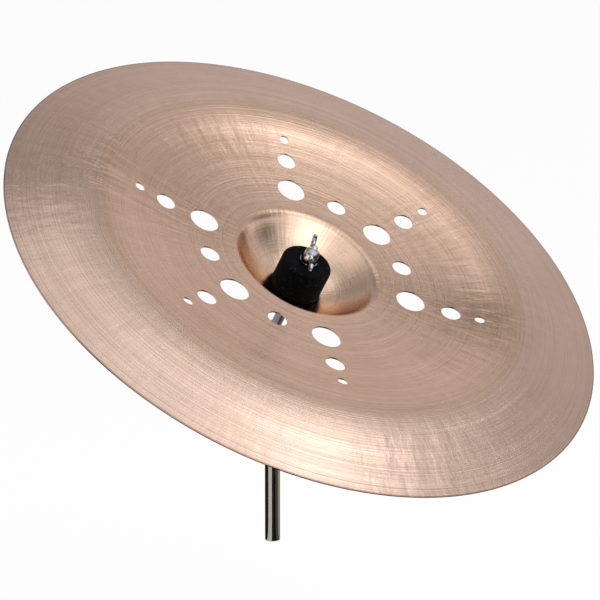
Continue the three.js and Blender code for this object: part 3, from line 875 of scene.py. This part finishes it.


# Felts: discs of pressed black wool on each side of the bell.
felt_radius = 0.01875
lower_felt_foot = 0.0537
upper_felt_top = 0.0901
felt_edge = 0.0026
felt_bore = 0.0056
felt_gap = 0.0003
felt_lumps = 0.00012
hair_count = 5200
bell_sphere = (bell_radius**2 + bell_depth**2) / (2 * bell_depth)
sphere_height = edge_plane + bell_sphere - bell_depth


def bell_run(start, end, distance, steps=18):
    """Points along the bell from one radius to another, a distance outside (+) or inside (-) its inner
    face: an arc whose radius is the bell's sphere and that distance."""
    radius = np.linspace(start, end, steps)
    return np.stack([radius, sphere_height - np.sqrt((bell_sphere + distance) ** 2 - radius**2)], -1)


def lumpy(points, amount, seed):
    """Pressed wool's uneven skin: each point moves by a sum of seeded sine waves of its place."""
    choice = np.random.default_rng(seed)
    moved = np.zeros(points.shape)
    for _ in range(26):
        wave = choice.normal(size=3) * choice.uniform(250, 2200)
        direction = choice.normal(size=3)
        moved += np.sin(points @ wave + choice.uniform(0, 2 * pi))[..., None] * direction
    return points + moved * amount / 8


hair_root_depth = 0.0001
hair_half_width = 0.00003
hair_length = (0.0003, 0.0011)


def wool_hairs(line, seed):
    """Loose fibres on a turned shape: each is a bent ribbon of two quads, from a seeded point of the profile,
    that leaves along the outward side and curls. Returned as points and faces."""
    choice = np.random.default_rng(seed)
    steps = np.linalg.norm(np.diff(line, axis=0), axis=1) * (line[1:, 0] + line[:-1, 0])
    run = np.concatenate([[0], np.cumsum(steps)]) / steps.sum()
    at = choice.uniform(0, 1, hair_count)
    radius = np.interp(at, run, line[:, 0])
    height = np.interp(at, run, line[:, 1])
    out = -square_to(line)
    lean = np.stack([np.interp(at, run, out[:, 0]), np.interp(at, run, out[:, 1])], -1)
    turn = choice.uniform(0, 2 * pi, hair_count)
    outward = around(lean[:, 0], turn, lean[:, 1])
    root = around(radius, turn, height) - outward * hair_root_depth
    sideways = choice.normal(size=(hair_count, 3))
    sideways -= (sideways * outward).sum(1)[:, None] * outward
    sideways /= np.linalg.norm(sideways, axis=1)[:, None]
    width = np.cross(outward, sideways) * hair_half_width
    reach = choice.uniform(*hair_length, hair_count)[:, None]
    bend = root + (outward * 0.5 + sideways * 0.35) * reach
    tip = root + (outward * 0.62 + sideways) * reach
    sides = [root - width, root + width, bend - width, bend + width]
    points = np.stack([*sides, tip - width * 0.3, tip + width * 0.3], 1)
    first = np.arange(hair_count)[:, None, None] * points.shape[1]
    faces = first + np.array([[0, 1, 3, 2], [2, 3, 5, 4]])
    return points.reshape(-1, 3), faces.reshape(-1, 4)


def felt_disc(name, line, hair_line, seed):
    """The line turned about the rod and made lumpy, joined in one mesh with the hairs of its outside."""
    body = skin(name, on_rod(lumpy(revolved(line, 120), felt_lumps, seed)), loop=True, sharp=70)
    hair_points, hair_faces = wool_hairs(hair_line, seed)
    mesh = body.data
    points = np.concatenate([read(mesh.vertices, "co", 3), on_rod(hair_points)])
    faces = [list(face.vertices) for face in mesh.polygons]
    joined = bpy.data.meshes.new(name)
    joined.from_pydata(points, [], faces + (hair_faces + len(mesh.vertices)).tolist())
    joined.shade_smooth()
    body.data = joined
    return body


wool = Finish("black_wool_felt", roughness=0.95)
wool_place = wool.place()
wool_fibre = wool.noise(wool_place, 1300, 5, 0.75)
wool_tuft = wool.noise(wool_place, 320, 4, 0.6)
wool_color = wool.blend(wool.step(wool_fibre, 0.4, 0.8), (0.0004, 0.0004, 0.0005), (0.004, 0.0042, 0.005))
wool.set("Base Color", wool.blend(wool.step(wool_tuft, 0.56, 0.72), wool_color, (0.016, 0.019, 0.03)))
wool.set("Specular IOR Level", 0.06)
wool.set("Sheen Weight", 0.02)
wool.set("Sheen Roughness", 0.5)
wool.set("Normal", wool.bump(wool_fibre, 0.0004, normal=wool.bump(wool_tuft, 0.0006)))

recess = 0.0088
recess_top = 0.0551
lower_wall_height = 0.0098
lower_foot_inset = 0.001
lower_rim_inset = 0.0008
lower_side = np.linspace(lower_felt_foot, lower_felt_foot + lower_wall_height, 14)
lower_wall = np.stack([felt_radius + 0 * lower_side, lower_side], -1)
lower_foot = [
    [felt_bore, recess_top], [recess, recess_top], [recess, lower_felt_foot],
    [felt_radius - lower_foot_inset, lower_felt_foot],
]
lower_cap = bell_run(felt_radius - lower_rim_inset, felt_bore, sheet + felt_gap)
lower_felt_line = np.concatenate([lower_foot, lower_wall[1:], lower_cap])
lower_felt = felt_disc("lower_wool_disc", lower_felt_line, lower_wall[::-1], 4)
dressed(lower_felt, wool, "felt", "lower_felt")
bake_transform(lower_felt)

upper_foot_inset = 0.0003
upper_foot_rise = 0.0004
wall_foot = sphere_height - np.sqrt((bell_sphere - felt_gap) ** 2 - felt_radius**2)
upper_side = np.linspace(wall_foot + upper_foot_rise, upper_felt_top - felt_edge, 26)
upper_wall = np.stack([felt_radius + 0 * upper_side, upper_side], -1)
upper_corner = np.array([felt_radius, upper_felt_top])
upper_round = curve(upper_wall[-1], upper_corner, upper_corner - [felt_edge, 0], 6)
upper_across = np.linspace(felt_radius - felt_edge, felt_bore, 16)[1:]
upper_face = np.stack([upper_across, upper_felt_top + 0 * upper_across], -1)
upper_outside = np.concatenate([upper_wall, upper_round, upper_face])
upper_foot = bell_run(felt_bore, felt_radius - upper_foot_inset, -felt_gap)
upper_felt_line = np.concatenate([upper_foot, upper_outside])
upper_felt = felt_disc("upper_wool_disc", upper_felt_line, upper_outside[::-1], 7)
dressed(upper_felt, wool, "felt", "upper_felt")
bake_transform(upper_felt)


# Washer and wing nut on top: a chromed plain washer lies on the felt, and the forged wing nut is run down
# on it by hand.
top_washer_foot = 0.0904
top_washer_thickness = 0.0016
top_washer_radius = 0.0066
top_washer_edge = 0.0003
top_nut_foot = 0.0923
top_nut_size = {
    "bore": 0.0043, "root": 0.005, "foot": 0.0062, "crown": 0.0052, "height": 0.0082, "span": 0.042,
    "blade": 0.0036, "tip_radius": 0.0033, "tip_lift": 0.007, "dip": 0.0018,
}
nut_chrome = chrome_finish("nut_chrome", (0.36, 0.36, 0.42), 0.12, 0.00025)
# The nut's chrome is dark, with near-black patches from noise: painted dark reflections, since the room that
# the chrome mirrors is bright all round.
nut_painted_reflections = nut_chrome.step(nut_chrome.noise(nut_chrome.place(), 260, 1), 0.42, 0.56)
nut_chrome.set("Base Color", nut_chrome.blend(nut_painted_reflections, (0.05, 0.05, 0.065), (0.42, 0.42, 0.48)))
top_washer_top = top_washer_foot + top_washer_thickness
top_washer_line = ring_line(rod_bore, top_washer_radius, top_washer_foot, top_washer_top, top_washer_edge)
top_washer = skin("top_ring", on_rod(revolved(top_washer_line, 96)), loop=True)
dressed(top_washer, nut_chrome, "chrome", "nut_washer")
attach(top_washer, "rod_washer")
top_nut = wing_nut(
    "top_nut_forging", top_nut_size, radians(51), lambda points: on_rod(points + [0, 0, top_nut_foot]),
)
dressed(top_nut, nut_chrome, "chrome", "wing_nut")
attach(top_nut, "rod_nut")


# Studio: a white floor in a white room, with a tent over the front whose edge the bronze shows as a seam.
# The floor lies below the post's end, clear of the cymbal when the tilter stands it upright.
floor_size = 12
floor_drop = 0.12
floor_glow_share = 0.94
floor_corners = [(x * floor_size, y * floor_size, 0) for x, y in ((-1, -1), (1, -1), (1, 1), (-1, 1))]
floor_mesh = bpy.data.meshes.new("studio_floor")
floor_mesh.from_pydata(floor_corners, [], [(0, 1, 2, 3)])
floor = placed("studio_floor", floor_mesh)
floor.location.z = -floor_drop
paper = Finish("white_paper", (0.86, 0.86, 0.86), roughness=0.9)
paper_grain = paper.noise(paper.place(), 30, 2)
paper.set("Base Color", paper.blend(paper_grain, (0.84, 0.84, 0.84), (0.87, 0.87, 0.87)))
paper.set("Specular IOR Level", 0.0)
glow = paper.node("Emission", {}, (1, 1, 1, 1), 1.0)
surface = Wire(paper, paper.surface.outputs["BSDF"])
background_rays = paper.ray("Is Camera Ray") + paper.ray("Is Glossy Ray") + paper.ray("Is Transmission Ray")
shown = paper.node("MixShader", {}, background_rays * floor_glow_share, surface, glow)
paper.join(shown, paper.tree.nodes["Material Output"].inputs["Surface"])
floor_mesh.materials.append(paper.material)


card_inside = 0.007
card_outside = 0.42
card_height = 0.0001


def card(name, start, end, tone, steps=24):
    """A flat card round the post's end, a ring's part from one azimuth to another in degrees. Only the metal
    sees it, as a stripe that runs up the post."""
    turn = np.radians(np.linspace(start, end, steps))[:, None]
    radius = np.array([[card_inside, card_outside]])
    points = around(radius, turn, card_height + 0 * radius)
    near = np.arange(0, 2 * steps - 2, 2)
    mesh = bpy.data.meshes.new(name)
    mesh.from_pydata(points.reshape(-1, 3), [], np.stack([near, near + 1, near + 3, near + 2], -1))
    finish = Finish(name + "_card", (0, 0, 0), roughness=1.0)
    finish.set("Emission Color", (*tone, 1))
    finish.set("Emission Strength", 1.0)
    finish.set("Specular IOR Level", 0.0)
    mesh.materials.append(finish.material)
    piece = placed(name, mesh)
    piece.visible_camera = False
    piece.visible_diffuse = False
    piece.visible_shadow = False
    piece.visible_transmission = False


card("left_dark", 50, 165.6, (0.02, 0.013, 0.003))
card("left_grey", 165.6, 222, (0.6, 0.59, 0.52))
card("front_dark", 222, 243, (0.004, 0.004, 0.004))
card("front_glint", 243, 249, (0.045, 0.046, 0.042))
card("right_dark", 249, 276, (0.004, 0.004, 0.004))
card("right_olive", 276, 321, (0.08, 0.073, 0.046))
card("right_grey", 321, 410, (0.32, 0.3, 0.25))


def aim(azimuth, elevation):
    """The unit vector towards an azimuth and elevation in degrees, as seen from the object."""
    a, e = radians(azimuth), radians(elevation)
    return (cos(e) * cos(a), cos(e) * sin(a), sin(e))


class Room(Finish):
    """The world's nodes, written with the same wires as a material."""

    def __init__(self):
        world = bpy.data.worlds.new("studio_room")
        world.use_nodes = True
        bpy.context.scene.world = world
        self.tree = world.node_tree
        self.tree.nodes.clear()
        self.output = self.tree.nodes.new("ShaderNodeOutputWorld")
        self.direction = self.node("TexCoord", {}, output="Generated")

    def towards(self, azimuth, elevation):
        """The cosine of the angle between the ray and a direction in degrees."""
        return self.along(self.direction, aim(azimuth, elevation))

    def patch(self, azimuth, elevation, sharpness, strength):
        """A soft patch of light: strength times e to the power sharpness times (cosine of the angle - 1)."""
        fall = (self.towards(azimuth, elevation) - 1) * sharpness
        return strength * fall.math("EXPONENT", fall)

    def panel(self, azimuth, elevation, radius, rim, strength):
        """A round panel of even light, with a rim over which it fades, all in degrees."""
        outer, inner = cos(radians(radius + rim)), cos(radians(radius - rim))
        return self.step(self.towards(azimuth, elevation), outer, inner, 0, strength)

    def ring(self, azimuth, elevation, radius, width, strength):
        """A thin ring of light round a direction: what a larger panel adds to a smaller one, in degrees."""
        outside = self.panel(azimuth, elevation, radius + width / 2, 0.4, strength)
        return outside - self.panel(azimuth, elevation, radius - width / 2, 0.4, strength)


# What gloss shows: the ceiling inside the tent, the wall outside it, lamps, and white below. Matt pieces get
# even light from all round.
ambient_level = 0.62
room = Room()
up = room.node("SeparateXYZ", {}, room.direction, output="Z")
ceiling = 0.68 + room.panel(-18, 79, 17, 4, 0.7) + room.panel(-43, 60, 15, 3, 0.36)
ceiling = ceiling - room.patch(20, 57, 16, 0.28) + room.patch(-4, 54, 90, 0.18)
wall = 0.65 + room.patch(24, 41, 30, 0.32) - room.patch(-19, 45, 30, 0.55) + room.patch(-22, 34, 40, 0.42)
tent = room.panel(-72, 62, 43.5, 0.8, 1)
lamps = room.patch(-50, 52, 60, 2.5) + room.patch(-172, 44, 12, 0.34) - room.patch(100, 62, 7, 0.3)
seam = room.ring(-72, 62, 44.4, 1, 0.8) - room.ring(-72, 62, 42.8, 1, 0.6)
low_lamp = room.patch(-104, 24, 9, 1.6) - room.patch(-42, 10, 16, 0.45)
indoors = room.step(up, -0.02, 0.12)
light = (ceiling * tent + wall * (1 - tent) + lamps + seam) * indoors + (1 - indoors) + low_lamp
tone = room.blend(tent, (1.015, 0.992, 1.005), (0.982, 1, 1))
studio = room.node("Background", {}, tone, light)
ambient = room.node("Background", {}, (1, 1, 1, 1), ambient_level)
white = room.node("Background", {}, (1, 1, 1, 1), 1.0)
lit = room.node("MixShader", {}, room.ray("Is Glossy Ray"), ambient, studio)
clear_rays = room.ray("Is Camera Ray") + room.ray("Is Transmission Ray")
shown = room.node("MixShader", {}, clear_rays, lit, white)
room.join(shown, room.output.inputs["Surface"])


def lamp(name, azimuth, elevation, distance, size, power):
    """A square lamp that faces the cymbal from a direction in degrees. Metal doesn't show it."""
    data = bpy.data.lights.new(name, "AREA")
    data.size = size
    data.energy = power
    lamp_object = placed(name, data)
    towards = Vector(aim(azimuth, elevation))
    lamp_object.location = Vector(cymbal_centre) + towards * distance
    lamp_object.rotation_euler = towards.to_track_quat("Z", "Y").to_euler()
    lamp_object.visible_glossy = False


lamp("softbox", -75, 42, 1.6, 1.1, 22)
lamp("fill", 150, 50, 1.9, 1.2, 9)

# Camera: at the front left and 9.56 degrees above the level. Its place, its axes and its lens come from
# fitting the cymbal's outline and its holes to the photograph.
camera_place = (-1.10629, -1.37423, 0.48116)
camera_right = (0.7716, -0.6362, 0)
camera_up = (0.1057, 0.1281, 0.9861)
camera_back = (-0.6273, -0.7608, 0.1661)
camera_data = bpy.data.cameras.new("view")
camera_data.lens = 144.35
camera_data.sensor_width = 36
camera = placed("view", camera_data)
axes = Matrix((camera_right, camera_up, camera_back)).transposed().to_4x4()
camera.matrix_world = Matrix.Translation(camera_place) @ axes
bpy.context.scene.camera = camera
bpy.context.scene.view_settings.view_transform = "Standard"
